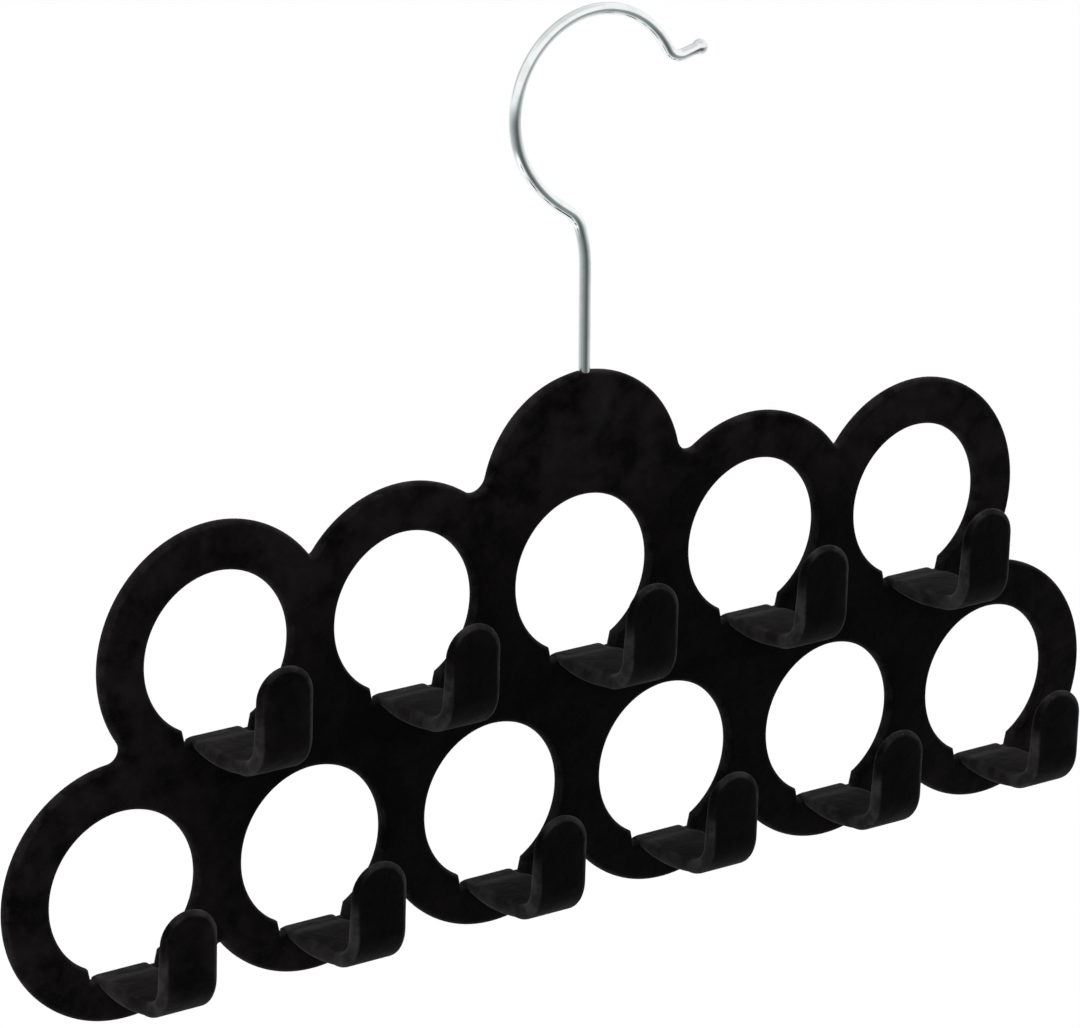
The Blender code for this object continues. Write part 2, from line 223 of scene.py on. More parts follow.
# Each zone of the cove sets in between two heights, given as the sine of the angle above the horizon
WALL_ZONE = (0.09, -0.27)
FLOOR_ZONE = (-0.60, -0.76)
UNDERFOOT_ZONE = (-0.80, -0.97)
BACK_ZONE = (-0.05, 0.1)
OVERHEAD_ZONE = (0.66, 0.92)
BACK_SPAN = (0.45, 0.75)
UNDERFOOT_SHADE = 0.30
BACK_SHADE = 0.42
OVERHEAD_SHADE = 0.27
WALL_SHADES = (
    (-180, 0.10), (-165, 0.15), (-140, 0.40), (-100, 0.60), (-60, 0.80), (-10, 1.0), (10, 1.0), (50, 0.65),
    (80, 0.37), (125, 0.27), (150, 0.07), (180, 0.10),
)
FLOOR_SHADES = (
    (-180, 0.20), (-135, 0.12), (-100, 0.0), (-70, 0.0), (-45, 0.35), (-20, 0.80), (10, 0.90), (40, 0.65),
    (120, 0.20), (180, 0.20),
)

world = bpy.data.worlds.new("white_cove")
bpy.context.scene.world = world
cove = Shading(world)
direction = cove.node("ShaderNodeTexCoord", output="Generated")
sideways = cove.part(direction, "X")
backwards = cove.part(direction, "Y")
height = cove.part(direction, "Z")
round_share = cove.maths("ARCTAN2", sideways, 0.0 - backwards) / math.tau + 0.5


def shade_round(shades):
    """How dark the cove is, 0 to 1, by azimuth in degrees: 0 is towards -Y and 90 towards +X."""
    stops = [(azimuth / 360 + 0.5, (shade, shade, shade)) for azimuth, shade in shades]
    return cove.node("ShaderNodeValToRGB", {"stops": stops}, {"Fac": round_share})


def cove_light(colour, strength):
    return cove.node("ShaderNodeBackground", None, {"Color": colour, "Strength": strength})


wall = shade_round(WALL_SHADES) * cove.smooth_step(height, *WALL_ZONE)
on_floor = cove.smooth_step(height, *FLOOR_ZONE)
underfoot = cove.smooth_step(height, *UNDERFOOT_ZONE)
below = wall * (1.0 - on_floor) + shade_round(FLOOR_SHADES) * on_floor
below = below * (1.0 - underfoot) + UNDERFOOT_SHADE * underfoot
behind = cove.smooth_step(height, *BACK_ZONE) * cove.smooth_step(backwards, *BACK_SPAN)
overhead = cove.smooth_step(height, *OVERHEAD_ZONE)
shade = below + BACK_SHADE * behind + OVERHEAD_SHADE * overhead
lightest = MIRRORED_WHITE + (MIRRORED_FLOOR - MIRRORED_WHITE) * on_floor
brightness = lightest - (lightest - MIRRORED_DARK) * shade
mirrored = cove_light(cove.blend_colours(shade, WHITE, DARK_TINT), brightness)
plain = cove_light(WHITE, FILL_LIGHT)
seen = cove_light(WHITE, SEEN_WHITE)
for_camera = cove.node("ShaderNodeLightPath", output="Is Camera Ray")
for_gloss = cove.node("ShaderNodeLightPath", output="Is Glossy Ray")
lit = cove.blend_shaders(for_gloss, plain, mirrored)
cove.node("ShaderNodeOutputWorld", None, {"Surface": cove.blend_shaders(for_camera, lit, seen)})

HANGER_MIDDLE = Vector((0.0, 0.0, MIDDLE_HEIGHT))


def add_softbox(name, spot, width, height, watts):
    """A rectangular studio light at spot that faces the hanger and doesn't show in its metal."""
    light = bpy.data.lights.new(name, "AREA")
    light.shape = "RECTANGLE"
    light.size = width
    light.size_y = height
    light.energy = watts
    lamp = add_object(name, light)
    lamp.location = spot
    lamp.rotation_mode = "QUATERNION"
    lamp.rotation_quaternion = (HANGER_MIDDLE - Vector(spot)).to_track_quat("-Z", "Y")
    lamp.visible_glossy = False


add_softbox("key_light", spot=(-1.3, -0.9, 0.9), width=1.0, height=0.8, watts=14.0)
add_softbox("top_light", spot=(0.1, 0.5, 1.4), width=1.6, height=0.9, watts=26.0)
add_softbox("rim_light", spot=(1.5, 0.8, 0.4), width=0.5, height=1.2, watts=10.0)

FLOOR_SIZE = 8.0
FLOOR_DROP = 0.55
FLOOR_GREY = (0.93, 0.93, 0.93, 1)
FLOOR_GLOW = 0.985
reach = FLOOR_SIZE / 2
corners = ((-reach, -reach), (reach, -reach), (reach, reach), (-reach, reach))
floor_mesh = bpy.data.meshes.new("pale_floor")
floor_mesh.from_pydata([(x, y, cad_low.z - FLOOR_DROP) for x, y in corners], [], [(0, 1, 2, 3)])
floor = add_object("pale_floor", floor_mesh)
floor_paint = bpy.data.materials.new("pale_floor_paint")
painting = Shading(floor_paint)
matt_paint = painting.node(
    "ShaderNodeBsdfPrincipled",
    None,
    {"Base Color": FLOOR_GREY, "Roughness": 0.9, "Specular IOR Level": 0.1},
)
seen_white = painting.node("ShaderNodeEmission", None, {"Color": WHITE, "Strength": SEEN_WHITE})
let_through = painting.node("ShaderNodeBsdfTransparent")
seen_share = FLOOR_GLOW * painting.node("ShaderNodeLightPath", output="Is Camera Ray")
for_gloss = painting.node("ShaderNodeLightPath", output="Is Glossy Ray")
floor_shader = painting.blend_shaders(seen_share, matt_paint, seen_white)
floor_shader = painting.blend_shaders(for_gloss, floor_shader, let_through)
painting.node("ShaderNodeOutputMaterial", None, {"Surface": floor_shader})
floor_mesh.materials.append(floor_paint)


# Black flocking
# Short black fibres are shot into glue all over the moulded plastic, plate and belt hooks alike. The nap
# swallows light seen square on and lies in faint patches. Painted light and shade lie over it: painted shade
# in the plate's middle and on each tongue's middle and shaded side, and edges painted greyer, partly as
# rubbed nap and partly as a painted sheen.
PATCHES_PER_METRE = 70.0
BRUSH_MARKS_PER_METRE = 230.0
FIBRES_PER_METRE = 2100.0
PILE_DEPTH = 0.35 * MM
PLATE_HALF = 2.0 * MM
DEEP_BLACK = (0.0008, 0.0006, 0.0006, 1)
WORN_AND_LIT_BLACK = (0.0074, 0.0060, 0.0063, 1)
FIBRE_GREY = (0.0082, 0.0074, 0.0075, 1)
RUBBED_SHEEN_GREY = (0.027, 0.0255, 0.0255, 1)

flocking = bpy.data.materials.new("black_flocking")
nap = Shading(flocking)
place_on_piece = nap.node("ShaderNodeTexCoord", output="Object")


def nap_noise(per_metre, detail, roughness=0.55):
    sockets = {"Vector": place_on_piece, "Scale": per_metre, "Detail": detail, "Roughness": roughness}
    return nap.node("ShaderNodeTexNoise", {"noise_dimensions": "3D"}, sockets, output="Fac")


patches = nap.smooth_step(nap_noise(PATCHES_PER_METRE, 3.0), 0.38, 0.62)
brushed = nap.smooth_step(nap_noise(BRUSH_MARKS_PER_METRE, 4.0), 0.36, 0.66)
fibres = nap_noise(FIBRES_PER_METRE, 2.0, 0.7)

# Painted shade: the lighter patches are held down in an oval near the plate's middle, where the belt hooks
# shade the plate, and painted lighter out at the ends of the rows
SHADED_MIDDLE = (0.020, MIDDLE_HEIGHT - 0.012)
OVAL_WIDTH = 0.17
OVAL_HEIGHT = 0.068
LEAST_PAINTED_LIGHT = 0.25
aside = (nap.part(place_on_piece, "X") - SHADED_MIDDLE[0]) / OVAL_WIDTH
upwards = (nap.part(place_on_piece, "Z") - SHADED_MIDDLE[1]) / OVAL_HEIGHT
far_out = (aside**2.0 + upwards**2.0) ** 0.5
painted_outer_light = nap.smooth_step(far_out, 0.65, 1.1, LEAST_PAINTED_LIGHT, 1.0)
# Lighter patches of nap, scaled by the painted shade of the middle and the painted light of the row ends
tone = nap.blend_colours((0.6 * patches + 0.4 * brushed) * painted_outer_light, DEEP_BLACK, WORN_AND_LIT_BLACK)
tone = nap.blend_colours(nap.smooth_step(fibres, 0.5, 0.85, 0.0, 0.55), tone, FIBRE_GREY)
# The plate's rounded edges are painted greyer: partly rubbed nap, partly a painted sheen where the edges
# catch light
thickwise = nap.part(place_on_piece, "Y") / PLATE_HALF
plate_edge = nap.smooth_step(thickwise**2.0, 0.97, 0.66)
tone = nap.blend_colours(plate_edge * (0.02 + 0.18 * brushed), tone, RUBBED_SHEEN_GREY)

# A belt hook's on_strip map counts half widths, across from its middle and along towards its tip. The middle
# of its round end is at ROUND_MARK
ROUND_MARK = 10.0
TONGUE_FOOT = (ROUND_MARK - 3.4, ROUND_MARK - 2.0)
RIM_FOOT = (ROUND_MARK - 3.6, ROUND_MARK - 2.2)
ROUND_START = (ROUND_MARK - 0.9, ROUND_MARK)
on_strip = nap.node("ShaderNodeUVMap", {"uv_map": "on_strip"})
across = nap.part(on_strip, "X")
along_strip = nap.part(on_strip, "Y")
past_round = nap.maths("MAXIMUM", along_strip - ROUND_MARK, 0.0)
to_outline = (across**2.0 + past_round**2.0) ** 0.5
# Painted shade: the middle of each tongue's face is darkened towards deep black, so that its rims stay
# lighter
tongue_face = nap.smooth_step(along_strip, *TONGUE_FOOT)
tone = nap.blend_colours(0.55 * tongue_face * nap.smooth_step(to_outline, 0.9, 0.2), tone, DEEP_BLACK)
# Painted shade: the tongue's side towards -X is darkened near its outline, along its round end
shaded_side = nap.smooth_step(across, -0.45, -0.85) * nap.smooth_step(along_strip, *ROUND_START)
tone = nap.blend_colours(0.7 * shaded_side * nap.smooth_step(to_outline, 0.88, 0.97), tone, DEEP_BLACK)
# Each tongue's rim is painted greyer: partly rubbed nap, partly a painted sheen on its rounded edge, kept
# off the shaded side
rubbed_rim_sheen = nap.smooth_step(to_outline, 0.78, 0.90) * (1.0 - 0.9 * shaded_side)
rubbed_rim_sheen = rubbed_rim_sheen * nap.smooth_step(along_strip, *RIM_FOOT, 0.5, 1.0)
tone = nap.blend_colours(rubbed_rim_sheen * (0.30 + 0.55 * brushed), tone, RUBBED_SHEEN_GREY)

pile_height = fibres * 0.6 + brushed * 0.8 + patches * 0.6
pile = nap.node(
    "ShaderNodeBump", None, {"Strength": 0.35, "Distance": PILE_DEPTH, "Height": pile_height}
)
flock_shader = nap.node(
    "ShaderNodeBsdfPrincipled",
    None,
    {
        "Base Color": tone,
        "Roughness": 0.86 + 0.12 * patches,
        "Specular IOR Level": 0.02,
        "Sheen Weight": 0.05,
        "Sheen Roughness": 0.42,
        "Sheen Tint": (1.0, 0.97, 0.97, 1),
        "Normal": pile,
    },
)
nap.node("ShaderNodeOutputMaterial", None, {"Surface": flock_shader})


# Ring plate
# One flat injection moulding: rings that run into each other, a dome on top for the swivel, and all edges
# rounded nearly to a half circle. A small notch at both sides of each belt hook's root breaks the ring.
PLATE_EDGE = 1.6 * MM
DOME_RADIUS = 31.75 * MM
DOME_RISE = 23.8 * MM
VALLEY_RADIUS = 1.2 * MM
SIDE_VALLEY_RADIUS = 3.3 * MM
DOME_VALLEY_RADIUS = 4.5 * MM
DOME_CENTRE = (0.0, ROW_SPACING / 2 + DOME_RISE)
DOME_TOP = DOME_CENTRE[1] + DOME_RADIUS
ARC_STEP = math.radians(3.0)
VALLEY_STEP = math.radians(8.0)
EDGE_STEPS = 5
WELD_DISTANCE = 0.002 * MM
CREASE_ANGLE = math.radians(50)


def arc(centre, radius, start, end, step=ARC_STEP):
    """Points of an arc in the plate's plane, as (x, z), both ends included."""
    steps = max(1, math.ceil(abs(end - start) / step))
    turns = [start + (end - start) * i / steps for i in range(steps + 1)]
    return [(centre[0] + radius * math.cos(t), centre[1] + radius * math.sin(t)) for t in turns]


def angle_at(centre, point):
    return math.atan2(point[1] - centre[1], point[0] - centre[0])


def plate_outline():
    """The plate's outer edge: round the end rings and the dome, with a fillet in each valley."""
    discs = [(c, RING_RADIUS) for c in reversed(UPPER_ROW[3:])]
    discs += [(DOME_CENTRE, DOME_RADIUS)]
    discs += [(c, RING_RADIUS) for c in reversed(UPPER_ROW[:2])]
    discs += [(c, RING_RADIUS) for c in LOWER_ROW]
    valleys = []
    for (centre, radius), (after, after_radius) in zip(discs, discs[1:] + discs[:1]):
        fillet = VALLEY_RADIUS
        if DOME_CENTRE in (centre, after):
            fillet = DOME_VALLEY_RADIUS
        elif abs(centre[1] - after[1]) > RING_WIDTH:
            fillet = SIDE_VALLEY_RADIUS
        a, b = Vector(centre), Vector(after)
        span = (b - a).length
        along = ((radius + fillet) ** 2 - (after_radius + fillet) ** 2 + span**2) / (2 * span)
        beside = math.sqrt((radius + fillet) ** 2 - along**2)
        forward = (b - a) / span
        hollow = a + forward * along + Vector((forward.y, -forward.x)) * beside
        leaves = a + (hollow - a) * radius / (radius + fillet)
        meets = b + (hollow - b) * after_radius / (after_radius + fillet)
        valleys.append((hollow, fillet, leaves, meets))
    outline = []
    for i, (centre, radius) in enumerate(discs):
        start = angle_at(centre, valleys[i - 1][3])
        end = start + (angle_at(centre, valleys[i][2]) - start) % math.tau
        outline += arc(centre, radius, start, end)
        hollow, fillet, leaves, meets = valleys[i]
        start = angle_at(hollow, leaves)
        end = start - (start - angle_at(hollow, meets)) % math.tau
        outline += arc(hollow, fillet, start, end, VALLEY_STEP)[1:-1]
    return outline


STRIP_HALF_WIDTH = 8.1 * MM
NOTCH_DEPTH = 0.7 * MM
NOTCH_WIDTH = 1.8 * MM
NOTCH_SLOPE = 0.8 * MM
NOTCH_OUTSIDE = STRIP_HALF_WIDTH + NOTCH_WIDTH


def ring_hole(centre):
    """A ring's hole with the notch at its foot; the belt hook's root fills the notch's middle."""
    floor_z = -(HOLE_RADIUS + NOTCH_DEPTH)
    start = -math.acos((NOTCH_OUTSIDE + NOTCH_SLOPE) / HOLE_RADIUS)
    rim = arc((0.0, 0.0), HOLE_RADIUS, start, math.pi - start)
    rim += [(-NOTCH_OUTSIDE, floor_z), (NOTCH_OUTSIDE, floor_z)]
    return [(centre[0] + x, centre[1] + z) for x, z in reversed(rim)]


def flat_moulding(name, loops, half_thickness, edge_radius):
    """A flat plate with rounded edges from closed loops, as a welded mesh in the XY plane."""
    curve = bpy.data.curves.new(name, "CURVE")
    curve.dimensions = "2D"
    curve.fill_mode = "BOTH"
    curve.extrude = half_thickness - edge_radius
    curve.bevel_depth = edge_radius
    curve.bevel_resolution = EDGE_STEPS - 1
    curve.offset = -edge_radius
    for loop in loops:
        spline = curve.splines.new("POLY")
        spline.points.add(len(loop) - 1)
        spline.use_cyclic_u = True
        for point, (x, z) in zip(spline.points, loop):
            point.co = (x, z, 0.0, 1.0)
    blank = add_object(name, curve)
    evaluated = blank.evaluated_get(bpy.context.evaluated_depsgraph_get())
    mesh = bpy.data.meshes.new_from_object(evaluated)
    bpy.data.objects.remove(blank, do_unlink=True)
    work = bmesh.new()
    work.from_mesh(mesh)
    bmesh.ops.remove_doubles(work, verts=work.verts, dist=WELD_DISTANCE)
    nearly_out = half_thickness * 0.999
    flat = [face for face in work.faces if all(abs(v.co.z) > nearly_out for v in face.verts)]
    within = [edge for edge in work.edges if all(face in flat for face in edge.link_faces)]
    bmesh.ops.beautify_fill(work, faces=flat, edges=within, method="ANGLE")
    work.to_mesh(mesh)
    work.free()
    return mesh


def finish_mesh(mesh, material):
    """Smooth shading with only real creases kept, and one material."""
    mesh.materials.clear()
    mesh.materials.append(material)
    mesh.shade_smooth()
    mesh.set_sharp_from_angle(angle=CREASE_ANGLE)


holes = [ring_hole(centre) for centre in UPPER_ROW + LOWER_ROW]
plate_mesh = flat_moulding("ring_plate_flocked", [plate_outline()] + holes, PLATE_HALF, PLATE_EDGE)
for vertex in plate_mesh.vertices:
    x, z, thick = vertex.co
    vertex.co = (x, -thick, z + MIDDLE_HEIGHT)


# Swivel boss
# The dome swells softly over the socket that keeps the wire's head: a low neck under the dome's top and a
# rounder barrel below it. The swelling is moulded into both faces of the plate and flocked with it.
NECK_PROUD = 0.8 * MM
NECK_SPREAD = 5.5 * MM
BARREL_PROUD = 2.6 * MM
BARREL_SPREAD = 8.8 * MM
BARREL_DEPTH = 10.4 * MM
BARREL_REACH = 10.0 * MM
BOSS_HALF_WIDTH = 9.0 * MM
BOSS_LENGTH = 21.0 * MM
BOSS_SINK = 0.04 * MM
BOSS_INSET = 0.1 * MM
TOP_ROUNDING = 1.8 * MM
BOSS_COLUMNS = 73
BOSS_ROWS = 85


def plate_half_at(x, z):
    """The plate's half thickness near the dome's rounded edge."""
    inside = DOME_RADIUS - math.hypot(x - DOME_CENTRE[0], z - DOME_CENTRE[1])
    short = min(max(PLATE_EDGE - inside, 0.0), PLATE_EDGE)
    return PLATE_HALF - PLATE_EDGE + math.sqrt(PLATE_EDGE**2 - short**2)


def soft_hill(share):
    """A smooth hill: 1 on top, and flat where the share of its reach gets to 1."""
    return 0.5 + 0.5 * math.cos(math.pi * min(share, 1.0))


def boss_half_at(x, z):
    """Half thickness of plate and swelling together."""
    depth = DOME_TOP - z
    neck = NECK_PROUD * soft_hill(abs(x) / NECK_SPREAD)
    neck *= soft_hill(max(depth - BARREL_DEPTH, 0.0) / BARREL_REACH)
    from_barrel = math.hypot(x / BARREL_SPREAD, (depth - BARREL_DEPTH) / BARREL_REACH)
    barrel = BARREL_PROUD * soft_hill(from_barrel)
    proud = (neck**3 + barrel**3) ** (1 / 3)
    top = min(max(depth / TOP_ROUNDING, 0.0), 1.0)
    return plate_half_at(x, z) + proud * math.sqrt(1.0 - (1.0 - top) ** 2)


boss_points = []
for row in range(BOSS_ROWS):
    for column in range(BOSS_COLUMNS):
        x = BOSS_HALF_WIDTH * (2 * column / (BOSS_COLUMNS - 1) - 1)
        top_z = DOME_CENTRE[1] + math.sqrt(DOME_RADIUS**2 - x * x) - BOSS_INSET
        z = top_z - (BOSS_LENGTH - (DOME_TOP - top_z)) * row / (BOSS_ROWS - 1)
        boss_points.append((x, z, boss_half_at(x, z) - BOSS_SINK))
boss_verts = [(x, -half_y, z + MIDDLE_HEIGHT) for x, z, half_y in boss_points]
boss_verts += [(x, half_y, z + MIDDLE_HEIGHT) for x, z, half_y in boss_points]
to_back = len(boss_points)
boss_faces = []
for row in range(BOSS_ROWS - 1):
    for column in range(BOSS_COLUMNS - 1):
        a = row * BOSS_COLUMNS + column
        b, c, d = a + 1, a + 1 + BOSS_COLUMNS, a + BOSS_COLUMNS
        boss_faces.append((a, d, c, b))
        boss_faces.append((a + to_back, b + to_back, c + to_back, d + to_back))
rim = list(range(BOSS_COLUMNS))
rim += [row * BOSS_COLUMNS + BOSS_COLUMNS - 1 for row in range(1, BOSS_ROWS)]
rim += [(BOSS_ROWS - 1) * BOSS_COLUMNS + column for column in range(BOSS_COLUMNS - 2, -1, -1)]
rim += [row * BOSS_COLUMNS for row in range(BOSS_ROWS - 2, 0, -1)]
for i, a in enumerate(rim):
    b = rim[(i + 1) % len(rim)]
    boss_faces.append((a, b, b + to_back, a + to_back))

work = bmesh.new()
work.from_mesh(plate_mesh)
boss_mesh = bpy.data.meshes.new("swivel_boss")
boss_mesh.from_pydata(boss_verts, [], boss_faces)
work.from_mesh(boss_mesh)
bmesh.ops.recalc_face_normals(work, faces=work.faces[:])
work.to_mesh(plate_mesh)
work.free()
finish_mesh(plate_mesh, flocking)
plate = add_object("ring_plate_flocked", plate_mesh)
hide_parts("ring_plate")
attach(plate, "rack")


# Belt hooks
# Flat strips with a round end and rounded edges, bent up into a tongue. Each grows out of the foot of its
# ring, swells halfway along its shelf and thins towards its tip, and the flocking runs over the joint.
STRIP_HALF = 2.0 * MM
STRIP_EDGE = 1.6 * MM
STRIP_DROP = 2.8 * MM
HOOK_REACH = 31.2 * MM
BEND_RADIUS = 8.8 * MM
HOOK_HEIGHT = 30.4 * MM
TIP_THICKNESS = 1.8 * MM
TAIL_HALF = 0.9 * MM
TAIL_EDGE = 1.3 * MM
TAIL_RAMP = 6.0 * MM
ROOT_LENGTH = 0.3 * MM
SHELF_BELLY = 0.8 * MM
SHELF_START = 2 * PLATE_HALF + ROOT_LENGTH
BEND_START = PLATE_HALF + HOOK_REACH - BEND_RADIUS
BEND_END = BEND_START + BEND_RADIUS * math.pi / 2
STRIP_LENGTH = BEND_END + HOOK_HEIGHT - STRIP_HALF - BEND_RADIUS
SHELF_MIDDLE = -(HOLE_RADIUS + STRIP_DROP) + STRIP_HALF
ROUND_END_STEP = math.radians(6)
TAIL_CUTS = 4
SHELF_CUTS = 14
BEND_CUTS = 14
CUT_TOLERANCE = 0.001 * MM


def eased(value):
    """Goes smoothly from 0 to 1 while the value does."""
    value = min(max(value, 0.0), 1.0)
    return value * value * (3.0 - 2.0 * value)


def bend_strip(x, along, offset):
    """Takes a point of the straight blank to its place on the bent strip, as (x, y, z) from the ring.

    The tail thins on its upper side, the shelf swells sideways and below, and the tongue thins in front.
    """
    if offset > 0.0:
        short = max(TAIL_EDGE - along, 0.0)
        rounding = TAIL_EDGE - math.sqrt(TAIL_EDGE**2 - short**2)
        past_plate = along - 2 * PLATE_HALF
        full = TAIL_HALF - rounding + (STRIP_HALF - TAIL_HALF) * eased(past_plate / TAIL_RAMP)
        offset *= full / STRIP_HALF
    on_shelf = min(max((along - SHELF_START) / (BEND_START - SHELF_START), 0.0), 1.0)
    belly = 4.0 * SHELF_BELLY * on_shelf * (1.0 - on_shelf)
    x *= 1.0 + belly / STRIP_HALF_WIDTH
    if offset < 0.0:
        offset *= 1.0 + belly / STRIP_HALF
    if along <= BEND_START:
        return x, PLATE_HALF - along, SHELF_MIDDLE + offset
    if along <= BEND_END:
        turned = (along - BEND_START) / BEND_RADIUS
        radius = BEND_RADIUS - offset
        y = PLATE_HALF - BEND_START - radius * math.sin(turned)
        return x, y, SHELF_MIDDLE + BEND_RADIUS - radius * math.cos(turned)
    thinned = (1.0 - TIP_THICKNESS / (2 * STRIP_HALF)) * (along - BEND_END) / (STRIP_LENGTH - BEND_END)
    offset = (1.0 - thinned) * (offset + STRIP_HALF) - STRIP_HALF
    y = PLATE_HALF - BEND_START - BEND_RADIUS + offset
    return x, y, SHELF_MIDDLE + BEND_RADIUS + along - BEND_END


round_centre = (0.0, STRIP_LENGTH - STRIP_HALF_WIDTH)
round_end = arc(round_centre, STRIP_HALF_WIDTH, 0.0, math.pi, ROUND_END_STEP)
blank = [(-STRIP_HALF_WIDTH, -STRIP_HALF), (STRIP_HALF_WIDTH, -STRIP_HALF)] + round_end
hook_mesh = flat_moulding("belt_hook_flocked", [blank], STRIP_HALF, STRIP_EDGE)
work = bmesh.new()
work.from_mesh(hook_mesh)
strip_uv = work.loops.layers.uv.new("on_strip")
everything = work.verts[:] + work.edges[:] + work.faces[:]
bmesh.ops.bisect_plane(
    work, geom=everything, plane_co=(0, 0, 0), plane_no=(0, -1, 0), clear_outer=True
)
bmesh.ops.contextual_create(work, geom=[edge for edge in work.edges if edge.is_boundary])
stations = [TAIL_EDGE * (1.0 - math.cos(math.pi / 2 * i / TAIL_CUTS)) for i in range(1, TAIL_CUTS + 1)]
stations += [2 * PLATE_HALF]
stations += [SHELF_START + (BEND_START - SHELF_START) * i / SHELF_CUTS for i in range(SHELF_CUTS)]
stations += [BEND_START + (BEND_END - BEND_START) * i / BEND_CUTS for i in range(BEND_CUTS + 1)]
for station in stations:
    everything = work.verts[:] + work.edges[:] + work.faces[:]
    bmesh.ops.bisect_plane(
        work, geom=everything, dist=CUT_TOLERANCE, plane_co=(0, station, 0), plane_no=(0, 1, 0)
    )
for face in work.faces:
    for loop in face.loops:
        from_round = (loop.vert.co.y - STRIP_LENGTH) / STRIP_HALF_WIDTH + 1.0
        loop[strip_uv].uv = (loop.vert.co.x / STRIP_HALF_WIDTH, ROUND_MARK + from_round)
for vertex in work.verts:
    vertex.co = bend_strip(vertex.co.x, vertex.co.y, vertex.co.z)
bmesh.ops.recalc_face_normals(work, faces=work.faces[:])
work.to_mesh(hook_mesh)
work.free()
finish_mesh(hook_mesh, flocking)
pattern_hook = add_object("pattern_hook", hook_mesh)

row_tree = bpy.data.node_groups.new("row_of_belt_hooks", "GeometryNodeTree")
row_tree.interface.new_socket("Geometry", in_out="OUTPUT", socket_type="NodeSocketGeometry")
row_inputs = {
    "Belt hook": "NodeSocketObject",
    "Rings": "NodeSocketInt",
    "Ring pitch": "NodeSocketFloat",
    "Row height": "NodeSocketFloat",
    "Flocking": "NodeSocketMaterial",
}
row_socket = {}
for label, kind in row_inputs.items():
    item = row_tree.interface.new_socket(label, in_out="INPUT", socket_type=kind)
    row_socket[label] = item.identifier


def row_node(kind, settings=None, sockets=None):
    """Add a node to the row's tree; its sockets take values, or (node, output) pairs as links."""
    made = row_tree.nodes.new(kind)
    for name, value in (settings or {}).items():
        setattr(made, name, value)
    for name, value in (sockets or {}).items():
        if isinstance(value, tuple):
            source, output = value
            row_tree.links.new(source.outputs[output], made.inputs[name])
        else:
            made.inputs[name].default_value = value
    return made


asked = row_node("NodeGroupInput")
gaps = row_node("ShaderNodeMath", {"operation": "SUBTRACT"}, {0: (asked, "Rings"), 1: 1.0})
span = row_node(
    "ShaderNodeMath", {"operation": "MULTIPLY"}, {0: (gaps, 0), 1: (asked, "Ring pitch")}
)
first_x = row_node("ShaderNodeMath", {"operation": "MULTIPLY"}, {0: (span, 0), 1: -0.5})
first = row_node("ShaderNodeCombineXYZ", None, {"X": (first_x, 0), "Z": (asked, "Row height")})
stride = row_node("ShaderNodeCombineXYZ", None, {"X": (asked, "Ring pitch")})
spots = row_node(
    "GeometryNodeMeshLine",
    {"mode": "OFFSET"},
    {"Count": (asked, "Rings"), "Start Location": (first, 0), "Offset": (stride, 0)},
)
one_hook = row_node("GeometryNodeObjectInfo", None, {"Object": (asked, "Belt hook")})
placed = row_node(
    "GeometryNodeInstanceOnPoints",
    None,
    {"Points": (spots, "Mesh"), "Instance": (one_hook, "Geometry")},
)
real = row_node("GeometryNodeRealizeInstances", None, {"Geometry": (placed, 0)})
dressed = row_node(
    "GeometryNodeSetMaterial", None, {"Geometry": (real, 0), "Material": (asked, "Flocking")}
)
row_node("NodeGroupOutput", None, {"Geometry": (dressed, 0)})

for row_name, row in (("upper", UPPER_ROW), ("lower", LOWER_ROW)):
    carrier = add_object("row_carrier", bpy.data.meshes.new("row_carrier"))
    modifier = carrier.modifiers.new("Row of belt hooks", "NODES")
    modifier.node_group = row_tree
    modifier[row_socket["Belt hook"]] = pattern_hook
    modifier[row_socket["Rings"]] = len(row)
    modifier[row_socket["Ring pitch"]] = RING_PITCH
    modifier[row_socket["Row height"]] = row[0][1] + MIDDLE_HEIGHT
    modifier[row_socket["Flocking"]] = flocking
    evaluated = carrier.evaluated_get(bpy.context.evaluated_depsgraph_get())
    row_mesh = bpy.data.meshes.new_from_object(evaluated)
    bpy.data.objects.remove(carrier, do_unlink=True)
    row_mesh.name = f"belt_hooks_{row_name}_flocked"
    belt_hooks = add_object(row_mesh.name, row_mesh)
    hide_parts(*[f"belt_hook_{row_name}_{i + 1}" for i in range(len(row))])
    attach(belt_hooks, "rack")
bpy.data.objects.remove(pattern_hook, do_unlink=True)


# Wire hook
# Drawn steel wire, bent cold into an open crook and plated bright. Its tip turns outwards and ends in a
# small ball, so that it doesn't scratch the rod, and its foot is upset to a head inside the socket.
WIRE_RADIUS = 1.6 * MM
STEM_HEIGHT = 28.4 * MM
STEM_LEAN = math.radians(0.6)
NECK_SWEEP_RADIUS = 33.2 * MM
NECK_SWEEP = math.radians(19.2)
NECK_BEND_RADIUS = 8.7 * MM
NECK_BEND = math.radians(36.6)
NECK_RUN = 3.6 * MM
CROOK_ENTRY_RADIUS = 37.0 * MM
CROOK_ENTRY = math.radians(22.7)
CROOK_RADIUS = 25.9 * MM
CROOK_TURN = math.radians(184.2)
TIP_BEND_RADIUS = 4.5 * MM
TIP_SLOPE = math.radians(14.0)
TIP_LENGTH = 5.6 * MM
BALL_RADIUS = 2.1 * MM
BALL_POLE = 0.02 * MM
HEAD_RADIUS = 2.5 * MM
HEAD_HEIGHT = 2.4 * MM
HEAD_ROUNDING = 0.5 * MM
HEAD_TAPER = 0.1 * MM
HEAD_DEPTH = 9.2 * MM
HEAD_TOP = DOME_TOP - HEAD_DEPTH
HEAD_FOOT = HEAD_TOP - HEAD_HEIGHT
WIRE_STEP = math.radians(2.0)
STRAIGHT_STEP = 1.2 * MM
HEAD_STEPS = 4
BALL_STEPS = 14
WIRE_SIDES = 32
MAP_PER_METRE = 10.0


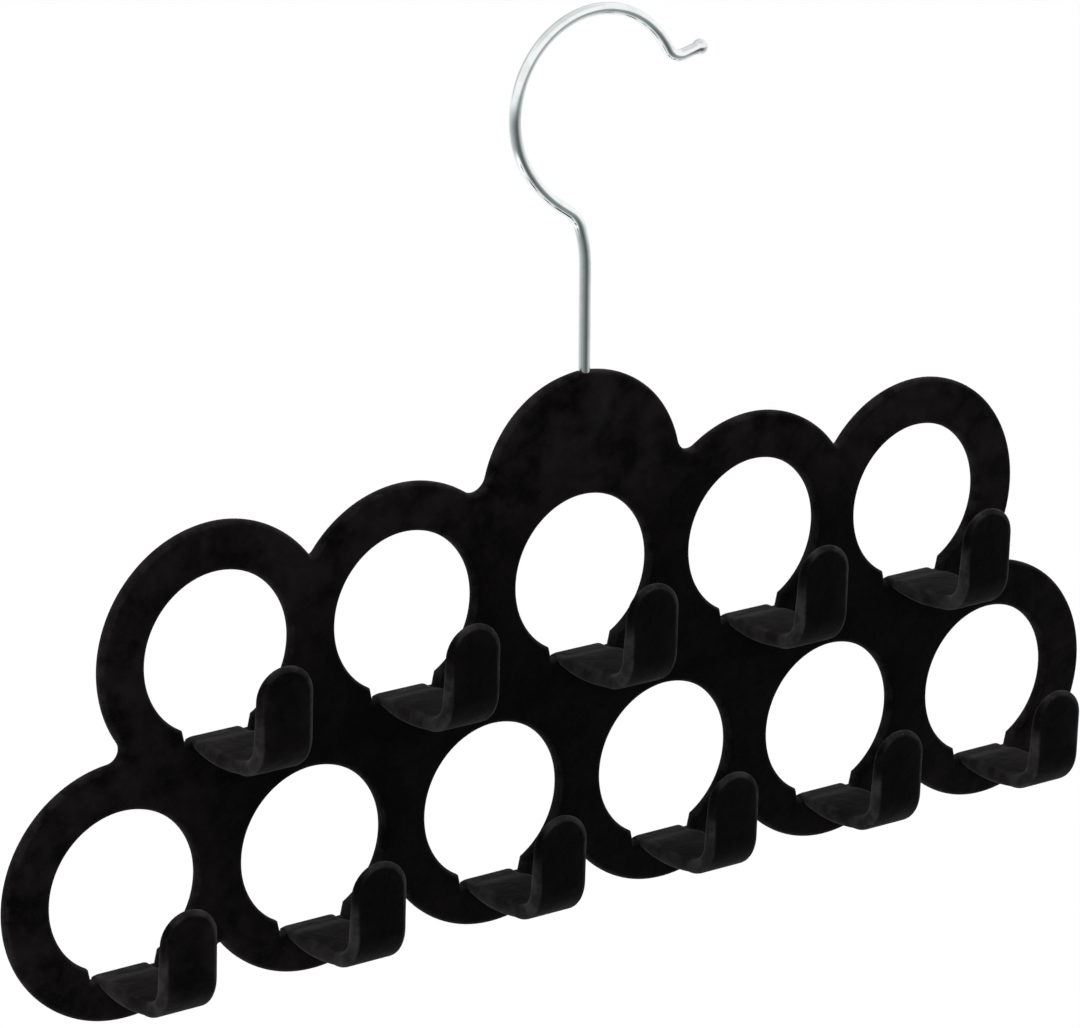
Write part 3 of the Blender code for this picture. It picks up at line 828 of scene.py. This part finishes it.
def follow_bends(spot, heading, bends):
    """The wire's centre line through bends, each a radius (left above zero, right below) and a turn.

    Where the radius is zero, the second number is a straight length.
    """
    points = []
    for radius, amount in bends:
        if radius == 0.0:
            steps = math.ceil(amount / STRAIGHT_STEP)
            way = Vector((math.cos(heading), math.sin(heading))) * amount
            points += [spot + way * (i + 1) / steps for i in range(steps)]
        else:
            centre = spot + Vector((-math.sin(heading), math.cos(heading))) * radius
            turned = math.copysign(amount, radius)
            begin = angle_at(centre, spot)
            points += arc(centre, abs(radius), begin, begin + turned, WIRE_STEP)[1:]
            heading += turned
        spot = Vector(points[-1])
    return points, spot, heading


centre_line = []
for i in range(HEAD_STEPS + 1):
    turned = math.pi / 2 * i / HEAD_STEPS
    rise = HEAD_ROUNDING * (1 - math.cos(turned))
    radius = HEAD_RADIUS - HEAD_ROUNDING + HEAD_ROUNDING * math.sin(turned)
    centre_line.append(((0.0, HEAD_FOOT + rise), radius))
for i in range(HEAD_STEPS + 1):
    turned = math.pi / 2 * i / HEAD_STEPS
    rise = HEAD_ROUNDING * math.sin(turned)
    radius = HEAD_RADIUS - HEAD_ROUNDING + HEAD_ROUNDING * math.cos(turned)
    centre_line.append(((0.0, HEAD_TOP - HEAD_ROUNDING + rise), radius))
centre_line.append(((0.0, HEAD_TOP + HEAD_TAPER), WIRE_RADIUS))
stem_foot = Vector((0.0, DOME_TOP))
centre_line.append((stem_foot, WIRE_RADIUS))
stem_and_crook = [
    (0.0, STEM_HEIGHT),
    (NECK_SWEEP_RADIUS, NECK_SWEEP),
    (NECK_BEND_RADIUS, NECK_BEND),
    (0.0, NECK_RUN),
    (-CROOK_ENTRY_RADIUS, CROOK_ENTRY),
    (-CROOK_RADIUS, CROOK_TURN),
]
bent, tip_root, heading = follow_bends(stem_foot, math.pi / 2 + STEM_LEAN, stem_and_crook)
centre_line += [(point, WIRE_RADIUS) for point in bent]
bent, tip_start, _ = follow_bends(tip_root, heading, [(TIP_BEND_RADIUS, TIP_SLOPE - heading)])
centre_line += [(point, WIRE_RADIUS) for point in bent]
tip_way = Vector((math.cos(TIP_SLOPE), math.sin(TIP_SLOPE)))
ball_entry = math.asin(WIRE_RADIUS / BALL_RADIUS)
for i in range(BALL_STEPS + 1):
    turned = (math.pi - ball_entry) * (1 - i / BALL_STEPS)
    spot = tip_start + tip_way * (TIP_LENGTH + BALL_RADIUS * math.cos(turned))
    centre_line.append((spot, max(BALL_RADIUS * math.sin(turned), BALL_POLE)))

path = np.array([tuple(point) for point, _ in centre_line])
girths = np.array([radius for _, radius in centre_line])
steps_along = np.gradient(path, axis=0)
steps_along /= np.linalg.norm(steps_along, axis=1)[:, None]
travelled = np.concatenate([[0.0], np.cumsum(np.linalg.norm(np.diff(path, axis=0), axis=1))])
work = bmesh.new()
wire_uv = work.loops.layers.uv.new("along_wire")
rings = []
for (x, z), (dx, dz), girth in zip(path, steps_along, girths):
    ring = []
    for side in range(WIRE_SIDES):
        turned = math.tau * side / WIRE_SIDES
        out_x = x - dz * girth * math.cos(turned)
        out_z = z + dx * girth * math.cos(turned)
        ring.append(work.verts.new((out_x, girth * math.sin(turned), out_z + MIDDLE_HEIGHT)))
    rings.append(ring)
for i in range(len(rings) - 1):
    for side in range(WIRE_SIDES):
        other = (side + 1) % WIRE_SIDES
        corners = (rings[i][side], rings[i][other], rings[i + 1][other], rings[i + 1][side])
        face = work.faces.new(corners)
        places = ((side, i), (side + 1, i), (side + 1, i + 1), (side, i + 1))
        for loop, (u, v) in zip(face.loops, places):
            loop[wire_uv].uv = (u / WIRE_SIDES, travelled[v] * MAP_PER_METRE)
for ring in (rings[0], rings[-1]):
    work.faces.new(ring)
bmesh.ops.recalc_face_normals(work, faces=work.faces[:])
wire_mesh = bpy.data.meshes.new("wire_hook_plated")
work.to_mesh(wire_mesh)
work.free()

STEEL = (0.85, 0.87, 0.87, 1)
DULL_STEEL = (0.74, 0.77, 0.765, 1)
DRAW_LINE_STRETCH = (40.0, 1.2, 1.0)
DRAW_LINE_DEPTH = 0.03 * MM
STAINS_PER_METRE = 260.0
plating = bpy.data.materials.new("bright_plating")
bright = Shading(plating)
along_wire = bright.node("ShaderNodeUVMap", {"uv_map": "along_wire"})
on_wire = bright.node("ShaderNodeTexCoord", output="Object")
stretched = bright.node(
    "ShaderNodeMapping", None, {"Vector": along_wire, "Scale": DRAW_LINE_STRETCH}
)
draw_lines = bright.node(
    "ShaderNodeTexNoise", None, {"Vector": stretched, "Scale": 1.0, "Detail": 3.0}, output="Fac"
)
stains = bright.node(
    "ShaderNodeTexNoise",
    None,
    {"Vector": on_wire, "Scale": STAINS_PER_METRE, "Detail": 4.0},
    output="Fac",
)
dulled = bright.smooth_step(stains, 0.46, 0.74)
fine_lines = bright.node(
    "ShaderNodeBump", None, {"Strength": 0.06, "Distance": DRAW_LINE_DEPTH, "Height": draw_lines}
)
wire_shader = bright.node(
    "ShaderNodeBsdfPrincipled",
    None,
    {
        "Base Color": bright.blend_colours(dulled, STEEL, DULL_STEEL),
        "Metallic": 1.0,
        "Roughness": 0.07 + 0.05 * dulled + 0.04 * draw_lines,
        "Normal": fine_lines,
    },
)
bright.node("ShaderNodeOutputMaterial", None, {"Surface": wire_shader})
finish_mesh(wire_mesh, plating)
wire = add_object("wire_hook_plated", wire_mesh)
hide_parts("wire_hook")
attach(wire, "wire_hook")
